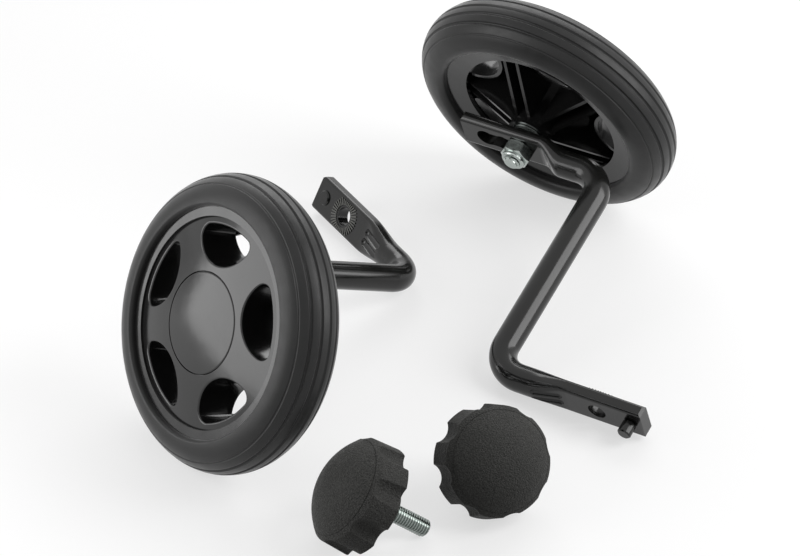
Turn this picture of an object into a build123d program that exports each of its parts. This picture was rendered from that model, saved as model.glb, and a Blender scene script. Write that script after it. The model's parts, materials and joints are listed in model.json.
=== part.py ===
from build123d import *
import os
from math import asin, atan2, cos, hypot, pi, radians, sin, sqrt, tan

# A pair of bicycle training wheels with their two clamping knobs, laid on a floor.
# Every unit is drawn in its own frame: the axle along Z with the outer side at +Z, the wheel's
# middle plane at Z = 0, and X along the arm's wheel-end flat towards its free end.

# Tyre
tyre_diameter = 130.0
tyre_width = 28.6
tyre_height = 19.0
tyre_bulge = 1.6
tyre_lip = 2.6
tread_groove_r = 0.8
tread_groove_pitch = 4.7
tread_groove_count = 4
shoulder_line_r = 0.35
shoulder_line_at = 11.2

# Moulded rim
front_flange_height = 4.0
front_flange_face = 11.5
front_flange_t = 2.5
back_flange_height = 2.2
back_flange_face = 10.2
back_flange_t = 2.2
back_ring_width = 9.4
back_ring_dish = 1.5
bead_gap = 0.05
barrel_wall = 2.4
barrel_draft = 0.8
disc_t = 2.4
disc_step = 1.1
disc_rise = 4.2
disc_bow = 0.5
window_count = 5
window_round = 18.6
window_corner = 4.5
window_wall = 1.7
window_draft = 8.0
window_depth = 15.0
window_to_seat = 2.8
window_lip = 0.8
rib_t = 1.6
rib_spread = 7.0
rib_hub_drop = 3.5
rib_rim_drop = 6.5
hub_wall = 4.2
hub_front = 2.7
hub_length = 23.3
cup_floor = 2.3
cup_wall = 2.4

# Hub cap
cap_r = 22.2
cap_gap = 0.25
cap_edge_t = 2.0
cap_dome = 1.4
cap_round = 0.6
cap_skirt_depth = 6.0
cap_skirt_t = 1.6
cap_skirt_gap = 0.1
cap_ledge = 3.6

# Axle set, M8
thread_r = 4.0
bolt_clearance = 0.1
head_across_flats = 13.0
head_height = 5.3
sleeve_r = 6.0
running_gap = 0.08
end_play = 0.3
head_washer_r = 9.0
head_washer_t = 1.6
arm_washer_r = 8.5
arm_washer_t = 2.0
nut_across_flats = 13.0
nut_hex_height = 6.0
nut_collar_r = 5.7
nut_collar_height = 2.0
nut_collar_round = 1.0
nut_bevel = 0.26
nut_bevel_angle = 30.0
insert_t = 1.5
insert_wall = 0.7
insert_gap = 0.1
insert_inset = 0.5
bolt_end_past_nut = 1.6
thread_chamfer = 0.8

# Arm, a steel tube pressed flat at both ends
tube_r = 6.35
tube_flat = 0.3
bend_r = 14.0
plate_width = 19.0
plate_t = 5.5
plate_round = 2.3
axle_to_tube = 46.5
axle_to_tab = 141.6
axle_to_plate_end = 30.5
plate_behind_axle = 11.0
press_length = 13.0
tab_width = 17.4
tab_t = 6.0
tab_round = 1.6
tab_length = 78.0
tab_end_to_hole = 23.0
tab_end_to_pin = 6.3
tab_flat_behind_hole = 15.0
tab_press_length = 20.0
end_corner = 1.2
tab_hole_r = 4.35
slot_pitch = 9.0
slot_places = 3
slot_gap = 0.25
slot_lobe_r = 4.9
ridge_count = 36
ridge_inner_r = 5.4
ridge_outer_r = 9.0
ridge_width = 0.55
ridge_height = 0.45
press_mark_r = 2.2
press_mark_start = 4.0
press_mark_length = 11.0
press_mark_spread = 4.8
press_mark_depth = 1.3
loft_steps = 5

# Locating pin
pin_r = 3.25
pin_reach = 6.5
pin_shank_r = 2.5
pin_gap = 0.05
pin_head_r = 3.6
pin_head = 1.0
pin_edge = 0.6

# Knob
grip_r = 24.8
grip_skirt = 13.4
grip_draft = 3.0
grip_shoulder = 2.1
seam_r = 22.0
seam_line_r = 0.25
grip_dome = 9.3
lobe_count = 8
scallop_r = 6.5
scallop_depth = 2.8
scallop_stop = 3.0
grip_edge = 0.8
boss_r = 9.5
boss_height = 8.0
stud_reach = 28.5
stud_sunk = 9.0
stud_shank_r = 3.55
stud_head_r = 6.5
stud_head_t = 4.0
stud_gap = 0.05

# How far a unit tips over towards its tab on the floor, in degrees
rest_tip = 2.4

# Layout on the floor: place of the wheel's centre, heading of the axle, turn of the wheel
unit_places = {
    "left": (-73.0, -124.5, -144.3, -3.0),
    "right": (66.0, 59.9, 60.8, 3.5),
}
# Place of the middle of the grip's base, and heading of its dome
knob_places = {
    "left": (-7.8, -191.2, 190.0),
    "right": (39.9, -160.2, -62.6),
}

# Worked-out sizes of the wheel
tyre_r = tyre_diameter / 2
seat_r = tyre_r - tyre_height
front_flange_r = seat_r + front_flange_height
back_flange_r = seat_r + back_flange_height
front_bead = front_flange_face - front_flange_t
back_bead = back_flange_face - back_flange_t
back_ring_r = back_flange_r - back_ring_width
back_ring_face = back_ring_dish - back_flange_face
side_r = front_flange_r + tyre_bulge
crown = tyre_r - side_r
half_width = tyre_width / 2
disc_edge_face = front_flange_face - disc_step
disc_hub_face = disc_edge_face + disc_rise
bore_r = sleeve_r + running_gap
hub_r = bore_r + hub_wall
hub_back = hub_front - hub_length
cap_hole_r = cap_r + cap_gap
cup_r = cap_hole_r - cap_ledge
cap_seat = disc_hub_face - cap_edge_t + cap_gap
window_outer_r = seat_r - window_to_seat
window_turn = 180 / window_count
window_centre = cup_r + cup_wall + window_wall + window_round + window_to_seat
tunnel_length = window_depth + disc_rise
barrel_front_r = seat_r - barrel_wall
barrel_back_r = barrel_front_r + barrel_draft

# Worked-out places along the axle
sleeve_front = hub_front + end_play
sleeve_back = hub_back - end_play
head_face = sleeve_front + head_washer_t
plate_face = sleeve_back - arm_washer_t
plate_middle = plate_face - plate_t / 2
nut_face = plate_face - plate_t
nut_top = nut_face - nut_hex_height - nut_collar_height
bolt_end = nut_top - bolt_end_past_nut

# Worked-out places on the arm
tube_axis = plate_face - tube_r
tab_middle = -axle_to_tab
tab_end_x = -axle_to_tube - tab_length
tab_hole_x = tab_end_x + tab_end_to_hole
tab_pin_x = tab_end_x + tab_end_to_pin
tab_flat_x = tab_hole_x + tab_flat_behind_hole
tab_round_x = tab_flat_x + tab_press_length
round_x = -plate_behind_axle - press_length
slot_run = slot_pitch * (slot_places - 1)
tube_size = (2 * tube_r, 2 * tube_r, tube_r - tube_flat)
plate_size = (plate_width, plate_t, plate_round)
tab_size = (tab_width, tab_t, tab_round)


def tread_r(height):
    """Radius of the tyre's crown at a height beside the middle of the tread."""
    return side_r + crown * sqrt(1 - (height / half_width) ** 2)


# The tyre, with grooves round its tread
with BuildPart() as tyre:
    with BuildSketch(Plane.XZ):
        with BuildLine():
            EllipticalCenterArc((side_r, 0), crown, half_width, start_angle=-90, arc_size=180)
            front_lip_end = (front_flange_r + bead_gap, half_width - tyre_lip)
            back_lip_end = (back_flange_r + bead_gap, -half_width + tyre_lip)
            front_side = (side_r, half_width)
            back_side = (side_r, -half_width)
            TangentArc(front_side, front_lip_end, tangent=(-1, 0))
            Polyline(
                front_lip_end,
                (front_flange_r + bead_gap, front_bead - bead_gap),
                (seat_r + bead_gap, front_bead - bead_gap),
                (seat_r + bead_gap, -back_bead + bead_gap),
                (back_flange_r + bead_gap, -back_bead + bead_gap),
                back_lip_end,
            )
            TangentArc(back_side, back_lip_end, tangent=(-1, 0))
        make_face()
    revolve(axis=Axis.Z)
    with BuildSketch(Plane.XZ):
        for step in range(tread_groove_count):
            groove_z = (step - (tread_groove_count - 1) / 2) * tread_groove_pitch
            with Locations((tread_r(groove_z), groove_z)):
                Circle(tread_groove_r)
        for line_z in (-shoulder_line_at, shoulder_line_at):
            with Locations((tread_r(line_z), line_z)):
                Circle(shoulder_line_r)
    revolve(axis=Axis.Z, mode=Mode.SUBTRACT)


def window_outline(height, grow):
    """Draw one window at a height: flat towards the tyre and round towards the hub."""
    with BuildSketch(Plane.XY.offset(height)) as window:
        Circle(window_outer_r + grow)
        with Locations((window_centre, 0)):
            Circle(window_round + grow, mode=Mode.INTERSECT)
        fillet(window.vertices(), window_corner + grow)
    return window.sketch


def window_tunnel(grow):
    """Loft the tunnel behind a window, which narrows towards the back."""
    narrowing = tunnel_length * tan(radians(window_draft))
    with BuildPart() as tunnel:
        front = window_outline(disc_hub_face, grow)
        back = window_outline(disc_hub_face - tunnel_length, grow - narrowing)
        loft([front, back], ruled=True)
    return tunnel.part


def rim_wall(inset, outer_r):
    """Draw the disc's bowed line, a distance below the front face, as its end and middle points."""
    outer = (outer_r, disc_edge_face - inset)
    inner = (cap_hole_r, disc_hub_face - inset)
    middle = ((outer[0] + inner[0]) / 2, (outer[1] + inner[1]) / 2 + disc_bow)
    return outer, middle, inner


# The rim: window tunnels and ribs first, cut level inside the disc, then the turned body
with BuildPart() as rim:
    with PolarLocations(0, window_count, start_angle=window_turn):
        add(window_tunnel(window_wall))
    spoke_planes = []
    for spoke in range(window_count):
        angle = 2 * pi * spoke / window_count
        for side in (-0.5, 0.5):
            radial = Plane((0, 0, 0), x_dir=(cos(angle), sin(angle), 0), z_dir=(sin(angle), -cos(angle), 0))
            spoke_planes.append(radial.offset(side * rib_spread))
    with BuildSketch(*spoke_planes):
        with BuildLine():
            Polyline(
                (0, disc_hub_face),
                (barrel_front_r + barrel_draft, disc_hub_face),
                (barrel_front_r + barrel_draft, -back_flange_face + rib_rim_drop),
                (hub_r, hub_back + rib_hub_drop),
                (0, hub_back + rib_hub_drop),
                close=True,
            )
        make_face()
    extrude(amount=rib_t / 2, both=True)
    with BuildSketch(Plane.XZ):
        cut_outer, cut_middle, cut_inner = rim_wall(disc_t / 2, barrel_front_r)
        with BuildLine():
            ThreePointArc(cut_outer, cut_middle, cut_inner)
            Polyline(
                cut_inner,
                (cap_hole_r, cap_seat - cup_wall / 2),
                (cup_r + cup_wall / 2, cap_seat - cup_wall / 2),
                (cup_r + cup_wall / 2, hub_front - cup_floor / 2),
                (0, hub_front - cup_floor / 2),
                (0, tyre_r),
                (tyre_r, tyre_r),
                (tyre_r, cut_outer[1]),
                cut_outer,
            )
        make_face()
    revolve(axis=Axis.Z, mode=Mode.SUBTRACT)
    with BuildSketch(Plane.XZ):
        front_outer, front_middle, front_inner = rim_wall(0, seat_r)
        back_outer, back_middle, back_inner = rim_wall(disc_t, barrel_front_r)
        with BuildLine():
            Polyline(
                (bore_r, hub_front),
                (cup_r, hub_front),
                (cup_r, cap_seat),
                (cap_hole_r, cap_seat),
                front_inner,
            )
            ThreePointArc(front_inner, front_middle, front_outer)
            Polyline(
                front_outer,
                (seat_r, front_flange_face),
                (front_flange_r, front_flange_face),
                (front_flange_r, front_bead),
                (seat_r, front_bead),
                (seat_r, -back_bead),
                (back_flange_r, -back_bead),
                (back_flange_r, -back_flange_face),
                (back_ring_r, back_ring_face),
                (back_ring_r, back_ring_face + back_flange_t),
                (barrel_back_r, -back_bead),
                back_outer,
            )
            ThreePointArc(back_outer, back_middle, back_inner)
            Polyline(
                back_inner,
                (cup_r + cup_wall, back_inner[1]),
                (cup_r + cup_wall, hub_front - cup_floor),
                (hub_r, hub_front - cup_floor),
                (hub_r, hub_back),
                (bore_r, hub_back),
                (bore_r, hub_front),
            )
        make_face()
    revolve(axis=Axis.Z)
    with PolarLocations(0, window_count, start_angle=window_turn):
        add(window_tunnel(0), mode=Mode.SUBTRACT)
    disc_front = rim.faces().filter_by(GeomType.REVOLUTION).sort_by(SortBy.AREA)[-1]
    fillet([edge for lip in disc_front.inner_wires() for edge in lip.edges()], window_lip)
    with Locations((0, 0, hub_front - hub_length / 2)):
        Cylinder(bore_r, hub_length, mode=Mode.SUBTRACT)

# The push-in cap over the bolt head
with BuildPart() as hub_cap:
    cap_edge = cap_seat + cap_edge_t
    skirt_r = cup_r - cap_skirt_gap
    round_start = (cap_r, cap_edge - cap_round)
    round_end = (cap_r - cap_round, cap_edge)
    dome_top = (0, cap_edge + cap_dome)
    with BuildSketch(Plane.XZ):
        with BuildLine():
            Polyline(
                dome_top,
                (0, cap_seat),
                (skirt_r - cap_skirt_t, cap_seat),
                (skirt_r - cap_skirt_t, cap_seat - cap_skirt_depth),
                (skirt_r, cap_seat - cap_skirt_depth),
                (skirt_r, cap_seat),
                (cap_r, cap_seat),
                round_start,
            )
            TangentArc(round_start, round_end, tangent=(0, 1))
            TangentArc(dome_top, round_end, tangent=(1, 0))
        make_face()
    revolve(axis=Axis.Z)

# The bolt that the wheel is held by
with BuildPart() as axle_bolt:
    with BuildSketch(Plane.XY.offset(head_face)):
        RegularPolygon(head_across_flats / 2, 6, major_radius=False)
    extrude(amount=head_height)
    with BuildSketch(Plane.XY.offset(head_face)):
        Circle(thread_r)
    extrude(amount=bolt_end - head_face)
    chamfer(axle_bolt.edges().sort_by(Axis.Z)[0], thread_chamfer)

# The steel bush that the wheel turns on
with BuildPart() as axle_sleeve:
    with BuildSketch(Plane.XY.offset(sleeve_back)):
        Circle(sleeve_r)
        Circle(thread_r + bolt_clearance, mode=Mode.SUBTRACT)
    extrude(amount=sleeve_front - sleeve_back)

with BuildPart() as head_washer:
    with BuildSketch(Plane.XY.offset(sleeve_front)):
        Circle(head_washer_r)
        Circle(thread_r + bolt_clearance, mode=Mode.SUBTRACT)
    extrude(amount=head_washer_t)

with BuildPart() as arm_washer:
    with BuildSketch(Plane.XY.offset(plate_face)):
        Circle(arm_washer_r)
        Circle(thread_r + bolt_clearance, mode=Mode.SUBTRACT)
    extrude(amount=arm_washer_t)

# The lock nut: a chamfered hexagon with a round collar that holds a nylon ring
nut_corner_r = nut_across_flats / sqrt(3)
insert_r = thread_r + bolt_clearance + insert_wall
insert_face = nut_top + insert_inset
collar_face = nut_face - nut_hex_height
with BuildPart() as lock_nut:
    with BuildSketch(Plane.XY.offset(collar_face)):
        RegularPolygon(nut_across_flats / 2, 6, major_radius=False)
    extrude(amount=nut_hex_height)
    with BuildSketch(Plane.XZ):
        bevel_r = nut_across_flats / 2 - nut_bevel
        bevel_t = (nut_corner_r - bevel_r) * tan(radians(nut_bevel_angle))
        with BuildLine():
            Polyline(
                (0, nut_face),
                (bevel_r, nut_face),
                (nut_corner_r, nut_face - bevel_t),
                (nut_corner_r, collar_face + bevel_t),
                (bevel_r, collar_face),
                (0, collar_face),
                close=True,
            )
        make_face()
    revolve(axis=Axis.Z, mode=Mode.INTERSECT)
    with BuildSketch(Plane.XY.offset(collar_face)):
        Circle(nut_collar_r)
    extrude(amount=-nut_collar_height)
    fillet(lock_nut.edges().sort_by(Axis.Z)[0], nut_collar_round)
    with BuildSketch(Plane.XY.offset(nut_face)):
        Circle(thread_r + bolt_clearance)
    extrude(amount=nut_top - nut_face, mode=Mode.SUBTRACT)
    with BuildSketch(Plane.XY.offset(insert_face)):
        Circle(insert_r + insert_gap)
    extrude(amount=insert_t, mode=Mode.SUBTRACT)

with BuildPart() as nut_insert:
    with BuildSketch(Plane.XY.offset(insert_face)):
        Circle(insert_r)
        Circle(thread_r + bolt_clearance, mode=Mode.SUBTRACT)
    extrude(amount=insert_t)


def eased(share):
    """Ease a share of a length, so that it starts and ends level."""
    return share * share * (3 - 2 * share)


def pressed_section(x, z, size):
    """Draw one section across the arm, of a width, thickness and corner, on a plane that faces along -X."""
    with BuildSketch(Plane((x, 0, z), x_dir=(0, 1, 0), z_dir=(-1, 0, 0))) as section:
        RectangleRounded(*size)
    return section.sketch


def pressed_length(flat_x, flat_z, flat_size, round_x, round_z):
    """Draw the sections in which the press turns a flat into the round tube."""
    sections = []
    for step in range(loft_steps + 1):
        share = step / loft_steps
        size = [flat + (tube - flat) * eased(share) for flat, tube in zip(flat_size, tube_size)]
        x = flat_x + (round_x - flat_x) * share
        z = flat_z + (round_z - flat_z) * eased(share)
        sections.append(pressed_section(x, z, size))
    return sections


def tab_face(x):
    """Height of the tab's face above its middle, in the length where the press shapes it."""
    share = (x - tab_flat_x) / tab_press_length
    return (tab_t + (2 * tube_r - tab_t) * eased(share)) / 2


# The arm: tube with two bends, pressed flat at the wheel and at the bicycle
with BuildPart() as arm:
    with BuildLine() as spine:
        FilletPolyline(
            (round_x, 0, tube_axis),
            (-axle_to_tube, 0, tube_axis),
            (-axle_to_tube, 0, tab_middle),
            (tab_round_x, 0, tab_middle),
            radius=bend_r,
        )
    sweep(pressed_section(round_x, tube_axis, tube_size), path=spine.wires()[0])
    loft(pressed_length(-plate_behind_axle, plate_middle, plate_size, round_x, tube_axis))
    plate_start = pressed_section(-plate_behind_axle, plate_middle, plate_size)
    extrude(plate_start, amount=-(axle_to_plate_end + plate_behind_axle))
    loft(pressed_length(tab_flat_x, tab_middle, tab_size, tab_round_x, tab_middle))
    tab_start = pressed_section(tab_flat_x, tab_middle, tab_size)
    extrude(tab_start, amount=tab_flat_x - tab_end_x)
    for end_x, inward, height, (width, thick, _) in (
        (tab_end_x, 1, tab_middle, tab_size),
        (axle_to_plate_end, -1, plate_middle, plate_size),
    ):
        with BuildSketch(Plane.XY.offset(height)):
            for side in (-1, 1):
                Polygon(
                    (end_x, side * width / 2),
                    (end_x + inward * end_corner, side * width / 2),
                    (end_x, side * (width / 2 - end_corner)),
                    align=None,
                )
        extrude(amount=thick, both=True, mode=Mode.SUBTRACT)
    with BuildSketch(Plane.XY.offset(plate_middle)):
        with Locations((slot_run / 2, 0)):
            SlotCenterToCenter(slot_run, 2 * (thread_r + slot_gap))
        for place in range(slot_places):
            with Locations((place * slot_pitch, 0)):
                Circle(slot_lobe_r)
    extrude(amount=plate_t, both=True, mode=Mode.SUBTRACT)
    with BuildSketch(Plane.XY.offset(tab_middle)):
        with Locations((tab_hole_x, 0)):
            Circle(tab_hole_r)
        with Locations((tab_pin_x, 0)):
            Circle(pin_shank_r + pin_gap)
    extrude(amount=tab_t, both=True, mode=Mode.SUBTRACT)
    with BuildSketch(Plane.XY.offset(tab_middle + tab_t / 2)):
        with Locations((tab_hole_x, 0)):
            with PolarLocations((ridge_inner_r + ridge_outer_r) / 2, ridge_count):
                Rectangle(ridge_outer_r - ridge_inner_r, ridge_width)
            Rectangle(2 * ridge_outer_r, tab_width - 2 * tab_round, mode=Mode.INTERSECT)
    extrude(amount=ridge_height)
    mark_x = tab_flat_x + press_mark_start
    mark_end_x = mark_x + press_mark_length
    for face in (-1, 1):
        for side in (-0.5, 0.5):
            low = tab_middle + face * (tab_face(mark_x) + press_mark_r - press_mark_depth)
            high = tab_middle + face * (tab_face(mark_end_x) + press_mark_r - press_mark_depth)
            mark_start = Vector(mark_x, side * press_mark_spread, low)
            mark_end = Vector(mark_end_x, side * press_mark_spread, high)
            with Locations(mark_start, mark_end):
                Sphere(press_mark_r, mode=Mode.SUBTRACT)
            with Locations(Plane(mark_start, z_dir=mark_end - mark_start)):
                Cylinder(
                    press_mark_r,
                    (mark_end - mark_start).length,
                    align=(Align.CENTER, Align.CENTER, Align.MIN),
                    mode=Mode.SUBTRACT,
                )

# The pin that stops the arm turning on the bicycle, riveted over on the outer face
with BuildPart() as locating_pin:
    shoulder = tab_middle - tab_t / 2 - pin_gap
    head_seat = tab_middle + tab_t / 2 + pin_gap
    with BuildSketch(Plane((tab_pin_x, 0, shoulder))):
        Circle(pin_r)
    extrude(amount=pin_gap - pin_reach)
    with BuildSketch(Plane((tab_pin_x, 0, head_seat))):
        Circle(pin_head_r)
    extrude(amount=pin_head)
    rims = locating_pin.edges().filter_by(GeomType.CIRCLE).sort_by(Axis.Z)
    chamfer([rims[0], rims[1], rims[-1]], pin_edge)
    with BuildSketch(Plane((tab_pin_x, 0, shoulder))):
        Circle(pin_shank_r)
    extrude(amount=head_seat - shoulder)

# The knob's stud: a thread up to the boss, then the shank and head that the grip is moulded round
with BuildPart() as knob_stud:
    thread_end = -boss_height - stud_gap
    with BuildSketch(Plane.XY.offset(-stud_reach)):
        Circle(thread_r)
    extrude(amount=stud_reach + thread_end)
    rims = knob_stud.edges().filter_by(GeomType.CIRCLE).sort_by(Axis.Z)
    chamfer(rims[0], thread_chamfer)
    chamfer(rims[-1], thread_r - stud_shank_r)
    with BuildSketch(Plane.XY.offset(thread_end)):
        Circle(stud_shank_r)
    extrude(amount=stud_sunk - thread_end)
    with BuildSketch(Plane.XY.offset(stud_sunk)):
        RegularPolygon(stud_head_r, 6)
    extrude(amount=stud_head_t)

# Worked-out places on the grip
scallop_at = grip_r - scallop_depth + scallop_r
scallop_end = grip_skirt - scallop_stop
skirt_top_r = grip_r - grip_skirt * tan(radians(grip_draft))
seam_height = grip_skirt + grip_shoulder
dome_top = seam_height + grip_dome
dome_r = (seam_r ** 2 + grip_dome ** 2) / (2 * grip_dome)


def scallop():
    """Make the round-ended cutter for one of the scallops."""
    with BuildPart() as cutter:
        with Locations((0, 0, scallop_end)):
            Cylinder(scallop_r, 2 * scallop_end, align=(Align.CENTER, Align.CENTER, Align.MAX))
            Sphere(scallop_r)
    return cutter.part


# The grip: a dome over a skirt with scallops, and a boss round the stud
with BuildPart() as knob_grip:
    with BuildSketch(Plane.XZ) as grip_section:
        half_r = seam_r / 2
        dome_half = dome_top - dome_r + sqrt(dome_r ** 2 - half_r ** 2)
        with BuildLine():
            Polyline(
                (0, dome_top),
                (0, -boss_height),
                (boss_r, -boss_height),
                (boss_r, 0),
                (grip_r, 0),
                (skirt_top_r, grip_skirt),
                (seam_r, seam_height),
            )
            ThreePointArc((seam_r, seam_height), (half_r, dome_half), (0, dome_top))
        make_face()
        for corner in ((grip_r, 0), (skirt_top_r, grip_skirt), (boss_r, -boss_height)):
            fillet(grip_section.vertices().sort_by_distance(corner)[0], grip_edge)
        with Locations((seam_r, seam_height)):
            Circle(seam_line_r, mode=Mode.SUBTRACT)
    revolve(axis=Axis.Z)
    with PolarLocations(scallop_at, lobe_count):
        add(scallop(), mode=Mode.SUBTRACT)
    fillet(knob_grip.edges(Select.LAST).filter_by(GeomType.BSPLINE), grip_edge)
    with BuildSketch(Plane.XY.offset(-boss_height)):
        Circle(stud_shank_r + stud_gap)
    extrude(amount=boss_height + stud_sunk, mode=Mode.SUBTRACT)
    with BuildSketch(Plane.XY.offset(stud_sunk)):
        RegularPolygon(stud_head_r + stud_gap, 6)
    extrude(amount=stud_head_t + stud_gap, mode=Mode.SUBTRACT)


def resting_unit():
    """Find the floor's upward direction in a unit's frame, and the height of the wheel's centre.

    A unit rests on its tyre and on the lowest of the bend, the tab's widest part and the tab's end.
    """
    tip = -sin(radians(rest_tip))
    low, high = 0.0, 0.9
    for _ in range(60):
        rise = (low + high) / 2
        across = sqrt(1 - rise ** 2 - tip ** 2)
        out = hypot(tip, across)
        edge_z = tab_middle - tab_t / 2 + tab_round
        edge_y = tab_width / 2 - tab_round
        edge_low = rise * edge_z - across * edge_y - tab_round
        bend_low = rise * (tab_middle + bend_r) - bend_r * hypot(tip, rise) - tube_r
        arm_low = min(
            tip * tab_flat_x + edge_low,
            tip * (tab_end_x + end_corner) + edge_low,
            tip * (-axle_to_tube - bend_r) + bend_low,
        )
        tyre_low = -side_r * out - hypot(crown * out, half_width * rise)
        if arm_low > tyre_low:
            low = rise
        else:
            high = rise
    return tip, across, rise, -tyre_low


def unit_plane(x, y, heading):
    """Place a unit's frame so that it rests on the floor with its axle along a heading."""
    tip, across, rise, height = resting_unit()
    level = sqrt(1 - rise ** 2)
    ahead = Vector(cos(radians(heading)), sin(radians(heading)), 0)
    aside = Vector(-sin(radians(heading)), cos(radians(heading)), 0)
    upward = Vector(0, 0, 1)
    along_flat = ahead * (-rise * tip / level) + aside * (across / level) + upward * tip
    along_axle = ahead * level + upward * rise
    return Plane((x, y, height), x_dir=along_flat, z_dir=along_axle)


def knob_plane(x, y, heading):
    """Place a knob so that it rests on two lobes and on the end of its stud."""
    lobe_x = ((grip_r - grip_edge) ** 2 + scallop_at ** 2 - (scallop_r + grip_edge) ** 2) / (2 * scallop_at)
    rest_r = lobe_x + grip_edge
    stud_tip = stud_reach - thread_chamfer
    apart = hypot(stud_tip + grip_edge, rest_r - grip_edge - thread_r)
    lean = atan2(rest_r - grip_edge - thread_r, stud_tip + grip_edge) + asin(grip_edge / apart)
    height = stud_tip * sin(lean) + thread_r * cos(lean)
    ahead = Vector(cos(radians(heading)), sin(radians(heading)), 0)
    upward = Vector(0, 0, 1)
    dome = ahead * cos(lean) + upward * sin(lean)
    down = ahead * sin(lean) - upward * cos(lean)
    return Plane((x, y, height), x_dir=down, z_dir=dome)


wheel_pieces = {"tyre": tyre, "rim": rim, "hub_cap": hub_cap}
fixed_pieces = {
    "axle_bolt": axle_bolt,
    "axle_sleeve": axle_sleeve,
    "head_washer": head_washer,
    "arm_washer": arm_washer,
    "lock_nut": lock_nut,
    "nut_insert": nut_insert,
    "arm": arm,
    "locating_pin": locating_pin,
}
knob_pieces = {"knob_grip": knob_grip, "knob_stud": knob_stud}

# Set everything down where it lies, then bring the middle of the layout to the origin
placed_pieces = {}
unit_planes = {}
for side, (x, y, heading, turn) in unit_places.items():
    unit_planes[side] = unit_plane(x, y, heading)
    wheel_plane = Plane(unit_planes[side].location * Location((0, 0, 0), (0, 0, turn)))
    for name, piece in wheel_pieces.items():
        placed_pieces[f"{side}_{name}"] = (piece, wheel_plane)
    for name, piece in fixed_pieces.items():
        placed_pieces[f"{side}_{name}"] = (piece, unit_planes[side])
for side, (x, y, heading) in knob_places.items():
    for name, piece in knob_pieces.items():
        placed_pieces[f"{side}_{name}"] = (piece, knob_plane(x, y, heading))

layout = Compound([plane.location * piece.part for piece, plane in placed_pieces.values()])
layout_middle = layout.bounding_box().center()

os.makedirs("parts", exist_ok=True)
for name, (piece, plane) in placed_pieces.items():
    place = plane.origin - (layout_middle.X, layout_middle.Y, 0)
    with BuildPart(Plane(place, plane.x_dir, plane.z_dir)) as placed:
        add(piece.part)
    placed.part.label = name
    export_step(placed.part, f"parts/{name}.step")
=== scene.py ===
"""Looks of the training wheels: moulded tyres, cut threads, finishes and a plain studio."""

import json
from math import cos, hypot, pi, radians, sin

import bmesh
import bpy
from bpy.props import FloatProperty, FloatVectorProperty, IntProperty, PointerProperty
from mathutils import Matrix, Vector


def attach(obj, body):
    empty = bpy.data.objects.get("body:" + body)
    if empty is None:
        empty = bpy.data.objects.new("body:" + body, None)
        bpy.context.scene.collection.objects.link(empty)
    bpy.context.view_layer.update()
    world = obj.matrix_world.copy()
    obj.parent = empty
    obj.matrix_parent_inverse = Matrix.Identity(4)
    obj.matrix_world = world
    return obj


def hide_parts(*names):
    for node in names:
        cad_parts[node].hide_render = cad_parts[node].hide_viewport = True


bl_info = {
    "name": "Training Wheels",
    "version": (1, 0, 0),
    "blender": (4, 5, 0),
    "location": "View3D > Sidebar > Training Wheels",
    "description": "Dresses a pair of bicycle training wheels with tyres, threads and finishes",
    "category": "Object",
}

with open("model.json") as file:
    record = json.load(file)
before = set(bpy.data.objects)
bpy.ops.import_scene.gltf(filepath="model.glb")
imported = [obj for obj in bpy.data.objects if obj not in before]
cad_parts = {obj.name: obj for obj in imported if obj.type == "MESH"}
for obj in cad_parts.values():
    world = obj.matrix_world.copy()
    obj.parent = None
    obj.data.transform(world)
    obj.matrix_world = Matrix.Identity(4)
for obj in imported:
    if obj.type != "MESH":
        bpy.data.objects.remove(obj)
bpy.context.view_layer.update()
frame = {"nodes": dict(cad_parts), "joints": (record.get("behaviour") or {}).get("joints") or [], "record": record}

SIDES = ("left", "right")
MM = 0.001
SHARP_ANGLE = radians(35)
MERGE = 0.01 * MM
CUT_MARGIN = 0.001 * MM
SENSOR_WIDTH = 36
# Shape of a groove's walls: a smaller power makes them steeper
GROOVE_POWER = 0.6
# One turn of the thread, as shares of its pitch and of its depth
THREAD_FORM = ((0, 0), (0.15, 0), (0.5, 1), (0.62, 1), (1, 0))
# Range in which most of a noise lies
NOISE_LOW = 0.3
NOISE_HIGH = 0.7
# Radial ridges of the tab, whose tops get a painted highlight: their reach in radii of the hole, and the heights
# between which that highlight shows
RIDGE_REACH = 2.1
RIDGE_FADE = 0.2 * MM
RIDGE_LOW = 0.1 * MM
RIDGE_HIGH = 0.4 * MM


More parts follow.
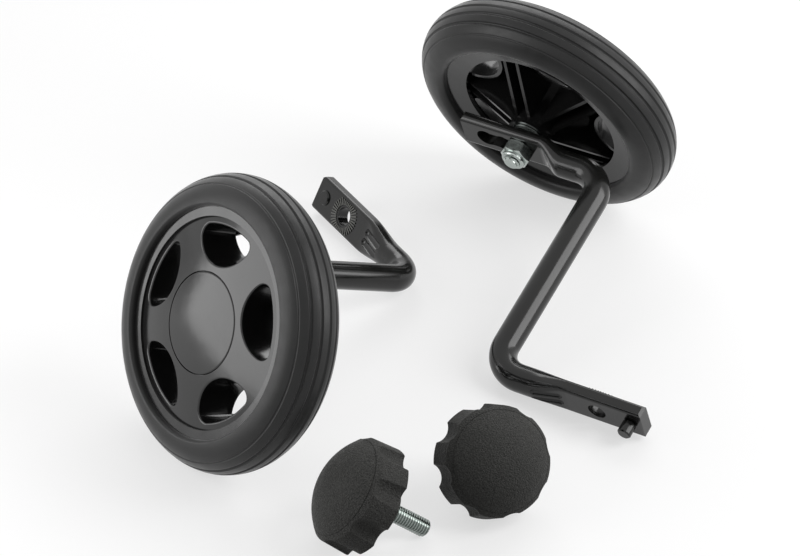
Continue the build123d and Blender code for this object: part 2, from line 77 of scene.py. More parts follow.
class TyreSettings(bpy.types.PropertyGroup):
    """Sizes of the moulded tyre that a user would change."""

    groove_depth: FloatProperty(
        name="Groove depth", description="Depth of the grooves round the tread",
        default=0.8 * MM, unit="LENGTH")
    groove_width: FloatProperty(
        name="Groove width", description="Width of one groove across the tread",
        default=1.5 * MM, unit="LENGTH")
    groove_pitch: FloatProperty(
        name="Groove pitch", description="Distance from one groove to the next",
        default=4.7 * MM, unit="LENGTH")
    groove_count: IntProperty(
        name="Grooves", description="Number of grooves round the tread", default=4)
    line_depth: FloatProperty(
        name="Shoulder line depth", description="Depth of the thin line on each shoulder",
        default=0.35 * MM, unit="LENGTH")
    line_width: FloatProperty(
        name="Shoulder line width", description="Width of the thin line on each shoulder",
        default=0.7 * MM, unit="LENGTH")
    line_at: FloatProperty(
        name="Shoulder line place", description="Distance of that line from the middle of the tread",
        default=11.2 * MM, unit="LENGTH")
    bulge: FloatProperty(
        name="Side bulge", description="How far the widest part lies outside the rim's front flange",
        default=1.6 * MM, unit="LENGTH")
    lip: FloatProperty(
        name="Lip", description="How far the sidewall turns in towards the flange",
        default=2.6 * MM, unit="LENGTH")
    front_rise: FloatProperty(
        name="Front flange height", description="Height of the rim's front flange over the tyre's seat",
        default=4.0 * MM, unit="LENGTH")
    back_rise: FloatProperty(
        name="Back flange height", description="Height of the rim's back flange over the tyre's seat",
        default=2.2 * MM, unit="LENGTH")
    front_bead: FloatProperty(
        name="Front bead", description="Depth of the front flange's inner face under the tyre's side",
        default=5.35 * MM, unit="LENGTH")
    back_bead: FloatProperty(
        name="Back bead", description="Depth of the back flange's inner face under the tyre's side",
        default=6.35 * MM, unit="LENGTH")
    steps: IntProperty(
        name="Steps", description="Number of steps round the tyre", default=192)


class ThreadSettings(bpy.types.PropertyGroup):
    """Sizes of the cut threads and of the heads on the studs and bolts."""

    pitch: FloatProperty(
        name="Pitch", description="Distance from one turn of the thread to the next",
        default=1.25 * MM, unit="LENGTH")
    depth: FloatProperty(
        name="Depth", description="Height of the thread above its root",
        default=0.72 * MM, unit="LENGTH")
    chamfer: FloatProperty(
        name="End chamfer", description="Chamfer at the end of the thread",
        default=0.8 * MM, unit="LENGTH")
    shank_r: FloatProperty(
        name="Shank radius", description="Radius of a stud's plain shank inside the grip",
        default=3.55 * MM, unit="LENGTH")
    stud_head: FloatProperty(
        name="Stud head", description="Thickness of the hexagon that the grip is moulded round",
        default=4.0 * MM, unit="LENGTH")
    bolt_head: FloatProperty(
        name="Bolt head", description="Height of the axle bolt's hexagon head",
        default=5.3 * MM, unit="LENGTH")
    head_bevel: FloatProperty(
        name="Head bevel", description="Softened edge of the hexagon heads",
        default=0.4 * MM, unit="LENGTH")
    steps: IntProperty(
        name="Steps", description="Number of steps in one turn", default=40)


class CapSettings(bpy.types.PropertyGroup):
    """Sizes of the push-in hub caps."""

    dome: FloatProperty(
        name="Dome", description="Height of the cap's dome over its edge", default=1.4 * MM, unit="LENGTH")
    edge: FloatProperty(
        name="Edge", description="Thickness of the cap's edge", default=2.0 * MM, unit="LENGTH")
    edge_round: FloatProperty(
        name="Edge round", description="Radius of the cap's rounded edge", default=0.9 * MM, unit="LENGTH")
    skirt_r: FloatProperty(
        name="Skirt radius", description="Outer radius of the skirt that holds the cap in the rim",
        default=18.75 * MM, unit="LENGTH")
    skirt_wall: FloatProperty(
        name="Skirt wall", description="Thickness of that skirt", default=1.6 * MM, unit="LENGTH")
    steps: IntProperty(
        name="Steps", description="Number of steps round the cap", default=128)


class FinishSettings(bpy.types.PropertyGroup):
    """Colours of the finishes and sizes of their texture."""

    rubber: FloatVectorProperty(
        name="Rubber", description="Colour of the tyres", subtype="COLOR", default=(0.016, 0.016, 0.016))
    moulding: FloatVectorProperty(
        name="Moulding", description="Colour of the rims and caps", subtype="COLOR",
        default=(0.009, 0.009, 0.009))
    paint: FloatVectorProperty(
        name="Paint", description="Colour of the arms", subtype="COLOR", default=(0.008, 0.008, 0.0075))
    # Painted highlight: a lighter grey on the tabs' radial ridge tops, standing in for the light they catch
    ridge_highlight: FloatVectorProperty(
        name="Ridge highlight", description="Colour of the paint on the tabs' radial ridges", subtype="COLOR",
        default=(0.13, 0.13, 0.12))
    zinc: FloatVectorProperty(
        name="Zinc", description="Colour of the plated steel", subtype="COLOR", default=(0.42, 0.46, 0.44))
    grip: FloatVectorProperty(
        name="Grip", description="Colour of the knobs", subtype="COLOR", default=(0.038, 0.038, 0.0362))
    nylon: FloatVectorProperty(
        name="Nylon", description="Colour of the ring in the lock nut", subtype="COLOR",
        default=(0.45, 0.47, 0.45))
    stud_shade: FloatProperty(
        name="Stud shade", description="How bright the studs' zinc is beside the axles'",
        default=0.75, subtype="FACTOR")
    rubber_sheen: FloatProperty(
        name="Rubber sheen", description="Strength of the dusty sheen on the tyres",
        default=0.3, subtype="FACTOR")
    rubber_grain: FloatProperty(
        name="Rubber grain", description="Size of the grain on the tyres", default=0.35 * MM, unit="LENGTH")
    mould_rings: FloatProperty(
        name="Mould rings", description="Width of the rings that the turned mould leaves on the tyres",
        default=0.9 * MM, unit="LENGTH")
    paint_peel: FloatProperty(
        name="Orange peel", description="Size of the ripples in the paint", default=1.6 * MM, unit="LENGTH")
    grip_grain: FloatProperty(
        name="Grip grain", description="Size of the fine grain on the knobs",
        default=0.5 * MM, unit="LENGTH")
    grip_cell: FloatProperty(
        name="Grip cells", description="Size of the cells in that grain", default=0.7 * MM, unit="LENGTH")


class StageSettings(bpy.types.PropertyGroup):
    """Camera, floor and lamps."""

    aim: FloatVectorProperty(
        name="Aim", description="Point on the floor that the camera looks at", subtype="XYZ", unit="LENGTH",
        default=(-0.00222, 0.05608, 0.0))
    distance: FloatProperty(
        name="Distance", description="Distance from the camera to that point",
        default=1.88908, unit="LENGTH")
    elevation: FloatProperty(
        name="Elevation", description="Height of the camera above the floor, as an angle",
        default=radians(35.42), unit="ROTATION")
    roll: FloatProperty(
        name="Roll", description="Turn of the camera about its own line of sight",
        default=radians(-2.17), unit="ROTATION")
    lens: FloatProperty(
        name="Lens", description="Focal length in millimetres for a sensor 36 mm wide", default=183.69)
    floor_size: FloatProperty(
        name="Floor size", description="Side of the floor", default=12.0, unit="LENGTH")
    floor: FloatProperty(
        name="Floor", description="Grey of the floor as it is seen", default=0.95)
    bounce: FloatProperty(
        name="Bounce", description="Grey of the floor as it lights the parts above it", default=0.25)
    lift: FloatProperty(
        name="Shadow lift", description="How far the floor's shadow is lifted towards white", default=0.6)
    sky: FloatProperty(
        name="Sky", description="Strength of the even light from all round", default=0.3)
    left_place: FloatVectorProperty(
        name="Left lamp place", description="Middle of the lamp that the left wheel faces", subtype="XYZ",
        unit="LENGTH", default=(-0.5, -0.18, 0.255))
    left_size: FloatVectorProperty(
        name="Left lamp size", description="Width and height of that lamp", size=2, unit="LENGTH",
        default=(0.44, 0.5))
    left_power: FloatProperty(
        name="Left lamp", description="Power of that lamp", default=2.2, unit="POWER")
    right_place: FloatVectorProperty(
        name="Right lamp place", description="Middle of the lamp at the right", subtype="XYZ",
        unit="LENGTH", default=(0.85, -0.1, 0.6))
    right_size: FloatVectorProperty(
        name="Right lamp size", description="Width and height of that lamp", size=2, unit="LENGTH",
        default=(0.6, 1.0))
    right_power: FloatProperty(
        name="Right lamp", description="Power of that lamp", default=8.2, unit="POWER")
    back_place: FloatVectorProperty(
        name="Back lamp place", description="Middle of the lamp behind the set", subtype="XYZ",
        unit="LENGTH", default=(0.1, 0.95, 0.75))
    back_size: FloatVectorProperty(
        name="Back lamp size", description="Width and height of that lamp", size=2, unit="LENGTH",
        default=(1.2, 0.6))
    back_power: FloatProperty(
        name="Back lamp", description="Power of that lamp", default=7.4, unit="POWER")


class WheelSettings(bpy.types.PropertyGroup):
    """All settings of the training wheels."""

    tyre: PointerProperty(type=TyreSettings)
    thread: PointerProperty(type=ThreadSettings)
    cap: PointerProperty(type=CapSettings)
    finish: PointerProperty(type=FinishSettings)
    stage: PointerProperty(type=StageSettings)


def settings():
    """The settings of the open scene."""
    return bpy.context.scene.training_wheels


# Places taken from the frame

def joint(name):
    """The joint of that name."""
    return next(item for item in frame["joints"] if item["name"] == name)


def mount(name):
    """The mount of that name."""
    return next(item for item in frame["record"]["mounts"] if item["name"] == name)


def axes_at(origin, z, x):
    """A matrix that puts a local frame at a point, with its Z and X along two directions."""
    z = Vector(z).normalized()
    x = (Vector(x) - z * z.dot(Vector(x))).normalized()
    turned = Matrix((x, z.cross(x), z)).transposed().to_4x4()
    return Matrix.Translation(Vector(origin)) @ turned


def wheel_frame(side):
    """The frame of one wheel: Z out along the axle, X along the arm's slotted plate."""
    spin = joint(f"{side}_wheel_spin")
    return axes_at(spin["pos_m"], spin["axis"], joint(f"{side}_axle_slide")["axis"])


def mount_frame(name):
    """The frame of one mount: origin at its middle, Z along its axis."""
    place = mount(name)
    z = Vector(place["axis"])
    return axes_at(place["pos_m"], z, z.orthogonal())


def reach(node, local):
    """How far a node reaches in a local frame: least and most along Z, least and most from Z."""
    back = local.inverted()
    points = [back @ corner.co for corner in frame["nodes"][node].data.vertices]
    heights = [point.z for point in points]
    spreads = [hypot(point.x, point.y) for point in points]
    return min(heights), max(heights), min(spreads), max(spreads)


# Pieces

def new_piece(name, bm, body, finish, place):
    """Turn a bmesh into a smooth object that rides on a body."""
    bmesh.ops.transform(bm, matrix=place, verts=bm.verts)
    bmesh.ops.recalc_face_normals(bm, faces=bm.faces)
    mesh = bpy.data.meshes.new(name)
    bm.to_mesh(mesh)
    bm.free()
    mesh.shade_smooth()
    mesh.set_sharp_from_angle(angle=SHARP_ANGLE)
    mesh.materials.append(finish)
    piece = bpy.data.objects.new(name, mesh)
    bpy.context.scene.collection.objects.link(piece)
    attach(piece, body)
    return piece


def draw_line(bm, points, closed=False):
    """Join points in the XZ plane by edges."""
    corners = [bm.verts.new((across, 0, up)) for across, up in points]
    edges = [bm.edges.new(pair) for pair in zip(corners, corners[1:])]
    if closed:
        edges.append(bm.edges.new((corners[-1], corners[0])))
    return corners + edges


def notch(offset, width):
    """Share of a groove's depth at a distance from its middle: one in the middle, none past its edge."""
    share = abs(offset) / (width / 2)
    return cos(share * pi / 2) ** GROOVE_POWER if share < 1 else 0.0


def dress(node, finish):
    """Give a CAD node a finish."""
    mesh = frame["nodes"][node].data
    mesh.materials.clear()
    mesh.materials.append(finish)


# Finishes

class Finish:
    """A material whose nodes read the piece's own coordinates, in metres."""

    def __init__(self, name, colour, roughness, metallic=0.0, specular=0.5):
        self.material = bpy.data.materials.new(name)
        self.material.use_nodes = True
        self.nodes = self.material.node_tree.nodes
        self.links = self.material.node_tree.links
        self.shader = self.nodes["Principled BSDF"]
        self.shader.inputs["Base Color"].default_value = (*colour, 1)
        self.shader.inputs["Roughness"].default_value = roughness
        self.shader.inputs["Metallic"].default_value = metallic
        self.shader.inputs["Specular IOR Level"].default_value = specular
        self.place = self.nodes.new("ShaderNodeTexCoord").outputs["Object"]
        self.height = None

    def node(self, kind, **values):
        """Add a node and set its sockets by name."""
        made = self.nodes.new(kind)
        for name, value in values.items():
            made.inputs[name.replace("_", " ")].default_value = value
        return made

    def within(self, local):
        """Coordinates in a local frame."""
        back = local.inverted()
        made = self.node("ShaderNodeMapping", Location=back.to_translation(), Rotation=back.to_euler())
        self.links.new(self.place, made.inputs["Vector"])
        return made.outputs["Vector"]

    def around(self, local):
        """Distance from a local frame's Z axis, and height along it."""
        parts = self.nodes.new("ShaderNodeSeparateXYZ")
        self.links.new(self.within(local), parts.inputs["Vector"])
        flat = self.nodes.new("ShaderNodeCombineXYZ")
        self.links.new(parts.outputs["X"], flat.inputs["X"])
        self.links.new(parts.outputs["Y"], flat.inputs["Y"])
        made = self.nodes.new("ShaderNodeVectorMath")
        made.operation = "LENGTH"
        self.links.new(flat.outputs["Vector"], made.inputs[0])
        return made.outputs["Value"], parts.outputs["Z"]

    def rings(self, local):
        """Coordinates that are the same all the way round a local frame's Z axis."""
        spread, height = self.around(local)
        made = self.nodes.new("ShaderNodeCombineXYZ")
        self.links.new(spread, made.inputs["X"])
        self.links.new(height, made.inputs["Z"])
        return made.outputs["Vector"]

    def noise(self, size, detail=2.0, place=None):
        """Noise whose spots are about a size across."""
        made = self.node("ShaderNodeTexNoise", Scale=1 / size, Detail=detail)
        self.links.new(place or self.place, made.inputs["Vector"])
        return made.outputs["Fac"]

    def ramp(self, value, start, end, low, high):
        """A value that goes from low to high as another goes from start to end."""
        made = self.node("ShaderNodeMapRange", From_Min=start, From_Max=end, To_Min=low, To_Max=high)
        self.links.new(value, made.inputs["Value"])
        return made.outputs["Result"]

    def product(self, first, second):
        """Two values multiplied."""
        made = self.nodes.new("ShaderNodeMath")
        made.operation = "MULTIPLY"
        self.links.new(first, made.inputs[0])
        self.links.new(second, made.inputs[1])
        return made.outputs["Value"]

    def rough(self, value, low, high):
        """Lead noise to the roughness, from low to high."""
        self.links.new(self.ramp(value, NOISE_LOW, NOISE_HIGH, low, high), self.shader.inputs["Roughness"])

    def tint(self, value, low, high, start=NOISE_LOW, end=NOISE_HIGH):
        """Blend the base colour between two colours by a value."""
        made = self.nodes.new("ShaderNodeValToRGB")
        first, last = made.color_ramp.elements
        first.position = start
        last.position = end
        first.color = (*low, 1)
        last.color = (*high, 1)
        self.links.new(value, made.inputs["Fac"])
        self.links.new(made.outputs["Color"], self.shader.inputs["Base Color"])

    def bump(self, value, depth, strength=1.0):
        """Raise the surface by a value, over what was raised before."""
        made = self.node("ShaderNodeBump", Strength=strength, Distance=depth)
        self.links.new(value, made.inputs["Height"])
        if self.height:
            self.links.new(self.height, made.inputs["Normal"])
        self.height = made.outputs["Normal"]
        self.links.new(self.height, self.shader.inputs["Normal"])


def shade(colour, share):
    """A colour made lighter or darker."""
    return tuple(value * share for value in colour)


def rubber_finish(side):
    """Moulded tyre rubber: satin, with rings left by the turned mould, a fine grain and a faint bloom."""
    look = settings().finish
    colour = look.rubber
    finish = Finish(f"{side}_tyre_rubber", colour, 0.38, specular=0.25)
    finish.shader.inputs["Sheen Weight"].default_value = look.rubber_sheen
    finish.shader.inputs["Sheen Roughness"].default_value = 0.4
    finish.tint(finish.noise(14 * MM, 3), shade(colour, 0.85), shade(colour, 1.2))
    finish.rough(finish.noise(5 * MM, 4), 0.33, 0.44)
    finish.bump(finish.noise(look.mould_rings, 2, finish.rings(wheel_frame(side))), 0.03 * MM, 0.5)
    finish.bump(finish.noise(look.rubber_grain, 2), 0.04 * MM, 0.5)
    return finish.material


def moulding_finish(name):
    """Glossy black moulding of the rims and caps, with slight sink marks."""
    colour = settings().finish.moulding
    finish = Finish(name, colour, 0.16)
    finish.rough(finish.noise(9 * MM, 3), 0.13, 0.19)
    finish.bump(finish.noise(16 * MM, 2), 0.25 * MM, 0.5)
    finish.bump(finish.noise(0.8 * MM, 2), 0.008 * MM, 0.4)
    return finish.material


def paint_finish(side):
    """Glossy black paint with a faint orange peel, and a painted highlight on the tops of the tab's radial ridges.
    """
    look = settings().finish
    finish = Finish(f"{side}_arm_paint", look.paint, 0.18, specular=0.42)
    hole = mount(f"{side}_tab_hole")
    half = hole["dims"]["length_mm"] * MM / 2
    ring_r = RIDGE_REACH * hole["dims"]["r_mm"] * MM
    # Painted highlight on the ridge tops round the tab's hole: raised above the tab's face and near the hole
    spread, height = finish.around(mount_frame(f"{side}_tab_hole"))
    raised = finish.ramp(height, half + RIDGE_LOW, half + RIDGE_HIGH, 0, 1)
    near = finish.ramp(spread, ring_r, ring_r + RIDGE_FADE, 1, 0)
    finish.tint(finish.product(raised, near), look.paint, look.ridge_highlight, 0, 1)
    finish.rough(finish.noise(7 * MM, 3), 0.15, 0.23)
    finish.bump(finish.noise(look.paint_peel, 2), 0.02 * MM, 0.4)
    return finish.material


def zinc_finish(name, share=1.0):
    """Bright zinc plate with faint cloudy patches, darkened to a share."""
    colour = shade(settings().finish.zinc, share)
    finish = Finish(name, colour, 0.28, metallic=1.0)
    finish.tint(finish.noise(3 * MM, 3), shade(colour, 0.93), shade(colour, 1.04))
    finish.rough(finish.noise(2 * MM, 3), 0.17, 0.26)
    finish.bump(finish.noise(0.3 * MM, 2), 0.006 * MM, 0.3)
    return finish.material


def grip_finish():
    """Black knob plastic with the fine grain of a spark-eroded mould."""
    look = settings().finish
    colour = look.grip
    finish = Finish("knob_plastic", colour, 0.5, specular=0.08)
    grain = finish.noise(look.grip_grain, 2)
    finish.tint(grain, shade(colour, 0.5), shade(colour, 1.6))
    finish.rough(finish.noise(4 * MM, 3), 0.48, 0.62)
    cells = finish.node("ShaderNodeTexVoronoi", Scale=1 / look.grip_cell)
    cells.feature = "SMOOTH_F1"
    finish.links.new(finish.place, cells.inputs["Vector"])
    finish.bump(cells.outputs["Distance"], 0.45 * MM, 0.9)
    finish.bump(grain, 0.22 * MM, 0.9)
    return finish.material


def nylon_finish():
    """Pale nylon of the ring in a lock nut."""
    finish = Finish("lock_nylon", settings().finish.nylon, 0.45)
    finish.rough(finish.noise(1 * MM, 2), 0.4, 0.5)
    return finish.material


# Tyres

def tyre_line(size, back, front, seat_r, tread_r):
    """Outline of the tyre's section, as (radius, height) points from the front lip round to the back one."""
    half = (front - back) / 2
    front_r = seat_r + size.front_rise
    back_r = seat_r + size.back_rise
    side_r = front_r + size.bulge
    crown = tread_r - side_r
    lip_steps = 12
    crown_steps = 180
    bead = front - size.front_bead
    points = [(seat_r, bead), (front_r, bead), (front_r, front - size.lip)]
    for step in range(1, lip_steps):
        turn = pi / 2 * step / lip_steps
        points.append((front_r + (side_r - front_r) * (1 - cos(turn)), front - size.lip * (1 - sin(turn))))
    for step in range(crown_steps + 1):
        turn = pi / 2 - pi * step / crown_steps
        height = half * sin(turn)
        radius = side_r + crown * cos(turn)
        cut = 0.0
        for groove in range(size.groove_count):
            middle = (groove - (size.groove_count - 1) / 2) * size.groove_pitch
            cut += size.groove_depth * notch(height - middle, size.groove_width)
        for line in (-size.line_at, size.line_at):
            cut += size.line_depth * notch(height - line, size.line_width)
        points.append((radius - cut * cos(turn), height - cut * sin(turn)))
    for step in range(lip_steps - 1, 0, -1):
        turn = pi / 2 * step / lip_steps
        points.append((back_r + (side_r - back_r) * (1 - cos(turn)), back + size.lip * (1 - sin(turn))))
    points += [(back_r, back + size.lip), (back_r, back + size.back_bead), (seat_r, back + size.back_bead)]
    return points


class TRAINER_OT_tyres(bpy.types.Operator):
    """Turn both tyres from their section, with grooves and shoulder lines"""

    bl_idname = "trainer.tyres"
    bl_label = "Tyres"

    def execute(self, context):
        size = settings().tyre
        for side in SIDES:
            place = wheel_frame(side)
            bm = bmesh.new()
            line = draw_line(bm, tyre_line(size, *reach(f"{side}_tyre", place)), closed=True)
            bmesh.ops.spin(bm, geom=line, cent=(0, 0, 0), axis=(0, 0, 1), angle=2 * pi, steps=size.steps,
                           use_merge=True)
            finish = rubber_finish(side)
            tyre = new_piece(f"{side}_grooved_tyre", bm, f"{side}_wheel", finish, place)
            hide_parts(f"{side}_tyre")
        return {"FINISHED"}


# Threads

def thread_rod(bm, radius, low, high, foot_r):
    """Spin a thread up Z between two heights, chamfered at the top and down to a foot radius below."""
    size = settings().thread
    root = radius - size.depth
    start = low - size.pitch
    line = draw_line(bm, [(root + size.depth * rise, start + size.pitch * up) for up, rise in THREAD_FORM])
    turns = int((high - low) / size.pitch) + 2
    bmesh.ops.spin(bm, geom=line, cent=(0, 0, 0), axis=(0, 0, 1), dvec=(0, 0, size.pitch / size.steps),
                   angle=2 * pi * turns, steps=size.steps * turns)
    bmesh.ops.remove_doubles(bm, verts=bm.verts, dist=MERGE)
    for height, up in ((low, -1), (high, 1)):
        bmesh.ops.bisect_plane(bm, geom=bm.verts[:] + bm.edges[:] + bm.faces[:], dist=CUT_MARGIN,
                               plane_co=(0, 0, height), plane_no=(0, 0, up), clear_outer=True)
    for corner in bm.verts:
        spread = hypot(corner.co.x, corner.co.y)
        limit = min(radius - size.chamfer + high - corner.co.z, foot_r + corner.co.z - low)
        if spread > limit:
            corner.co.x *= limit / spread
            corner.co.y *= limit / spread
    bmesh.ops.holes_fill(bm, edges=[edge for edge in bm.edges if edge.is_boundary])


def plain_shank(bm, radius, low, high):
    """Add a plain round shank."""
    bmesh.ops.create_cone(bm, cap_ends=True, segments=settings().thread.steps, radius1=radius,
                          radius2=radius, depth=high - low,
                          matrix=Matrix.Translation((0, 0, (low + high) / 2)))


def hexagon_head(bm, corner_r, low, high):
    """Add a hexagon head with softened edges."""
    made = bmesh.ops.create_cone(bm, cap_ends=True, segments=6, radius1=corner_r, radius2=corner_r,
                                 depth=high - low, matrix=Matrix.Translation((0, 0, (low + high) / 2)))
    edges = list({edge for corner in made["verts"] for edge in corner.link_edges})
    bmesh.ops.bevel(bm, geom=edges, offset=settings().thread.head_bevel, affect="EDGES", segments=3,
                    profile=0.5, material=-1)


class TRAINER_OT_studs(bpy.types.Operator):
    """Cut the threads of both knobs' studs"""

    bl_idname = "trainer.studs"
    bl_label = "Studs"

    def execute(self, context):
        size = settings().thread
        finish = zinc_finish("stud_zinc", settings().finish.stud_shade)
        for side in SIDES:
            place = mount_frame(f"{side}_stud")
            dims = mount(f"{side}_stud")["dims"]
            radius = dims["r_mm"] * MM
            low, high, _, corner_r = reach(f"{side}_knob_stud", place)
            foot = -dims["length_mm"] * MM / 2 - (radius - size.shank_r)
            bm = bmesh.new()
            thread_rod(bm, radius, foot, high, size.shank_r)
            plain_shank(bm, size.shank_r, low + size.stud_head, foot)
            hexagon_head(bm, corner_r, low, low + size.stud_head)
            stud = new_piece(f"{side}_threaded_stud", bm, "root", finish, place)
            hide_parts(f"{side}_knob_stud")
        return {"FINISHED"}


class TRAINER_OT_axles(bpy.types.Operator):
    """Cut the threads of both axle bolts and plate what sits on them"""

    bl_idname = "trainer.axles"
    bl_label = "Axles"

    def execute(self, context):
        size = settings().thread
        finish = zinc_finish("axle_zinc")
        nylon = nylon_finish()
        for side in SIDES:
            place = wheel_frame(side) @ Matrix.Rotation(pi, 4, "X")
            radius = mount(f"{side}_stud")["dims"]["r_mm"] * MM
            low, high, _, corner_r = reach(f"{side}_axle_bolt", place)
            bm = bmesh.new()
            thread_rod(bm, radius, low + size.bolt_head, high, radius)
            hexagon_head(bm, corner_r, low, low + size.bolt_head)
            bolt = new_piece(f"{side}_threaded_bolt", bm, f"{side}_axle", finish, place)
            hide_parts(f"{side}_axle_bolt")
            for name in ("axle_sleeve", "head_washer", "arm_washer", "lock_nut"):
                dress(f"{side}_{name}", finish)
            dress(f"{side}_nut_insert", nylon)
        return {"FINISHED"}


# Rims and caps

def cap_line(size, back, front, cap_r):
    """Outline of the cap's section, as (radius, height) points from the dome's top round to the middle."""
    seat = front - size.dome - size.edge
    edge = front - size.dome
    flat_r = cap_r - size.edge_round
    dome_steps = 24
    round_steps = 8
    points = [(0, front)]
    for step in range(1, dome_steps + 1):
        share = step / dome_steps
        points.append((flat_r * share, front - size.dome * share ** 2))
    for step in range(1, round_steps + 1):
        turn = pi / 2 * step / round_steps
        points.append((flat_r + size.edge_round * sin(turn), edge - size.edge_round * (1 - cos(turn))))
    inner_r = size.skirt_r - size.skirt_wall
    points += [(cap_r, seat), (size.skirt_r, seat), (size.skirt_r, back)]
    points += [(inner_r, back), (inner_r, seat), (0, seat)]
    return points


class TRAINER_OT_rims(bpy.types.Operator):
    """Finish the moulded rims"""

    bl_idname = "trainer.rims"
    bl_label = "Rims"

    def execute(self, context):
        finish = moulding_finish("rim_moulding")
        for side in SIDES:
            dress(f"{side}_rim", finish)
        return {"FINISHED"}


class TRAINER_OT_caps(bpy.types.Operator):
    """Turn both hub caps from their section"""

    bl_idname = "trainer.caps"
    bl_label = "Hub caps"

    def execute(self, context):
        size = settings().cap
        finish = moulding_finish("cap_moulding")
        for side in SIDES:
            place = wheel_frame(side)
            back, front, _, cap_r = reach(f"{side}_hub_cap", place)
            bm = bmesh.new()
            line = draw_line(bm, cap_line(size, back, front, cap_r))
            bmesh.ops.spin(bm, geom=line, cent=(0, 0, 0), axis=(0, 0, 1), angle=2 * pi, steps=size.steps,
                           use_merge=True)
            bmesh.ops.remove_doubles(bm, verts=bm.verts, dist=MERGE)
            cap = new_piece(f"{side}_domed_cap", bm, f"{side}_wheel", finish, place)
            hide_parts(f"{side}_hub_cap")
        return {"FINISHED"}


# Arms and knobs

class TRAINER_OT_arms(bpy.types.Operator):
    """Paint the arms and their locating pins"""

    bl_idname = "trainer.arms"
    bl_label = "Arms"

    def execute(self, context):
        for side in SIDES:
            finish = paint_finish(side)
            dress(f"{side}_arm", finish)
            dress(f"{side}_locating_pin", finish)
        return {"FINISHED"}


class TRAINER_OT_knobs(bpy.types.Operator):
    """Grain the grips of the clamping knobs"""

    bl_idname = "trainer.knobs"
    bl_label = "Knobs"

    def execute(self, context):
        finish = grip_finish()
        for side in SIDES:
            dress(f"{side}_knob_grip", finish)
        return {"FINISHED"}


# Stage

def backdrop_share(nodes, links, share):
    """A share for the rays that show the backdrop: the camera's own, reflected and let through."""
    light = nodes.new("ShaderNodeLightPath")
    shown = light.outputs["Is Camera Ray"]
    for kind in ("Is Glossy Ray", "Is Transmission Ray"):
        either = nodes.new("ShaderNodeMath")
        either.operation = "MAXIMUM"
        links.new(shown, either.inputs[0])
        links.new(light.outputs[kind], either.inputs[1])
        shown = either.outputs["Value"]
    part = nodes.new("ShaderNodeMath")
    part.operation = "MULTIPLY"
    part.inputs[1].default_value = share
    links.new(shown, part.inputs[0])
    return part.outputs["Value"]


def white_world(stage):
    """A white backdrop for what the camera and reflections see, and a dimmer sky that lights the set."""
    world = bpy.data.worlds.new("studio")
    bpy.context.scene.world = world
    world.use_nodes = True
    nodes = world.node_tree.nodes
    links = world.node_tree.links
    level = nodes.new("ShaderNodeMapRange")
    level.inputs["To Min"].default_value = stage.sky
    level.inputs["To Max"].default_value = 1.0
    links.new(backdrop_share(nodes, links, 1.0), level.inputs["Value"])
    backdrop = nodes["Background"]
    backdrop.inputs["Color"].default_value = (1, 1, 1, 1)
    links.new(level.outputs["Result"], backdrop.inputs["Strength"])


def floor_finish(stage):
    """A pale floor that keeps a light shadow and throws back less light than it shows."""
    material = bpy.data.materials.new("pale_floor")
    material.use_nodes = True
    nodes = material.node_tree.nodes
    links = material.node_tree.links
    nodes.remove(nodes["Principled BSDF"])
    light = nodes.new("ShaderNodeLightPath")
    grey = nodes.new("ShaderNodeMapRange")
    grey.inputs["To Min"].default_value = stage.floor
    grey.inputs["To Max"].default_value = stage.bounce
    links.new(light.outputs["Is Diffuse Ray"], grey.inputs["Value"])
    matte = nodes.new("ShaderNodeBsdfDiffuse")
    links.new(grey.outputs["Result"], matte.inputs["Color"])
    white = nodes.new("ShaderNodeEmission")
    both = nodes.new("ShaderNodeMixShader")
    links.new(backdrop_share(nodes, links, stage.lift), both.inputs["Fac"])
    links.new(matte.outputs["BSDF"], both.inputs[1])
    links.new(white.outputs["Emission"], both.inputs[2])
    links.new(both.outputs["Shader"], nodes["Material Output"].inputs["Surface"])
    return material


def add_lamp(name, place, size, power, upright=False):
    """A rectangular soft lamp, turned towards the middle of the set, or level where it is upright."""
    lamp = bpy.data.lights.new(name, "AREA")
    lamp.shape = "RECTANGLE"
    lamp.size, lamp.size_y = size
    lamp.energy = power
    holder = bpy.data.objects.new(name, lamp)
    bpy.context.scene.collection.objects.link(holder)
    holder.location = place
    facing = Vector((-place[0], 0, 0)) if upright else -Vector(place)
    holder.rotation_euler = facing.to_track_quat("-Z", "Y").to_euler()
    holder.visible_camera = False


def add_camera(stage):
    """The camera, at its distance and angle from the point that it looks at."""
    lens = bpy.data.cameras.new("camera")
    lens.lens = stage.lens
    lens.sensor_width = SENSOR_WIDTH
    camera = bpy.data.objects.new("camera", lens)
    bpy.context.scene.collection.objects.link(camera)
    level = Vector((1, 0, 0))
    ahead = Vector((0, cos(stage.elevation), -sin(stage.elevation)))
    down = Vector((0, -sin(stage.elevation), -cos(stage.elevation)))
    right = level * cos(stage.roll) + down * sin(stage.roll)
    up = level * sin(stage.roll) - down * cos(stage.roll)
    turned = Matrix((right, up, -ahead)).transposed().to_4x4()
    camera.matrix_world = Matrix.Translation(Vector(stage.aim) - ahead * stage.distance) @ turned
    bpy.context.scene.camera = camera


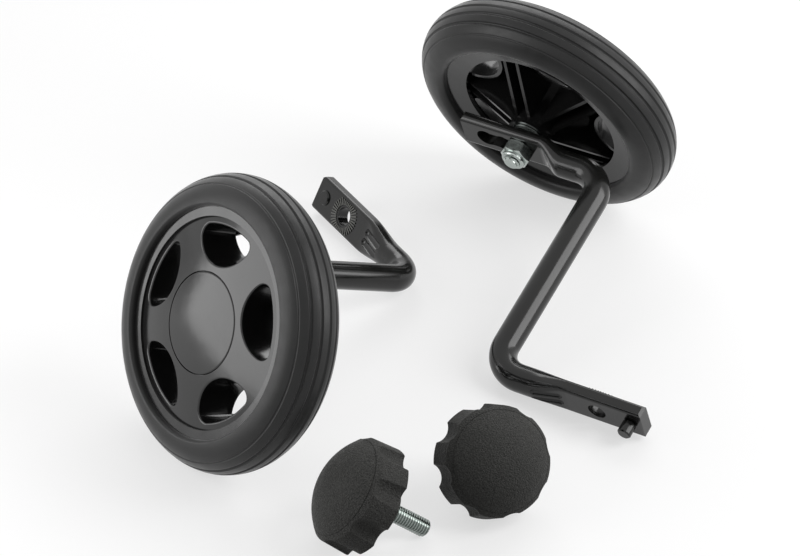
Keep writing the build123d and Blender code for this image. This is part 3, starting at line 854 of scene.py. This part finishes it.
class TRAINER_OT_stage(bpy.types.Operator):
    """Set up the floor, the lamps and the camera"""

    bl_idname = "trainer.stage"
    bl_label = "Stage"

    def execute(self, context):
        stage = settings().stage
        context.scene.view_settings.view_transform = "Standard"
        white_world(stage)
        bm = bmesh.new()
        bmesh.ops.create_grid(bm, x_segments=1, y_segments=1, size=stage.floor_size / 2)
        mesh = bpy.data.meshes.new("floor")
        bm.to_mesh(mesh)
        bm.free()
        mesh.materials.append(floor_finish(stage))
        floor = bpy.data.objects.new("floor", mesh)
        context.scene.collection.objects.link(floor)
        add_lamp("left_lamp", stage.left_place, stage.left_size, stage.left_power, upright=True)
        add_lamp("right_lamp", stage.right_place, stage.right_size, stage.right_power)
        add_lamp("back_lamp", stage.back_place, stage.back_size, stage.back_power)
        add_camera(stage)
        return {"FINISHED"}


class TRAINER_PT_panel(bpy.types.Panel):
    """Lists the steps that dress the training wheels"""

    bl_idname = "TRAINER_PT_panel"
    bl_label = "Training Wheels"
    bl_space_type = "VIEW_3D"
    bl_region_type = "UI"
    bl_category = "Training Wheels"

    def draw(self, context):
        for step in STEPS:
            self.layout.operator(step.bl_idname)


STEPS = (TRAINER_OT_tyres, TRAINER_OT_studs, TRAINER_OT_axles, TRAINER_OT_rims, TRAINER_OT_caps,
         TRAINER_OT_arms, TRAINER_OT_knobs, TRAINER_OT_stage)
CLASSES = (TyreSettings, ThreadSettings, CapSettings, FinishSettings, StageSettings, WheelSettings, *STEPS,
           TRAINER_PT_panel)


def register():
    for item in CLASSES:
        bpy.utils.register_class(item)
    bpy.types.Scene.training_wheels = PointerProperty(type=WheelSettings)


def unregister():
    del bpy.types.Scene.training_wheels
    for item in reversed(CLASSES):
        bpy.utils.unregister_class(item)


def main():
    register()
    bpy.ops.trainer.tyres()
    bpy.ops.trainer.studs()
    bpy.ops.trainer.axles()
    bpy.ops.trainer.rims()
    bpy.ops.trainer.caps()
    bpy.ops.trainer.arms()
    bpy.ops.trainer.knobs()
    bpy.ops.trainer.stage()


if __name__ == "__main__":
    main()
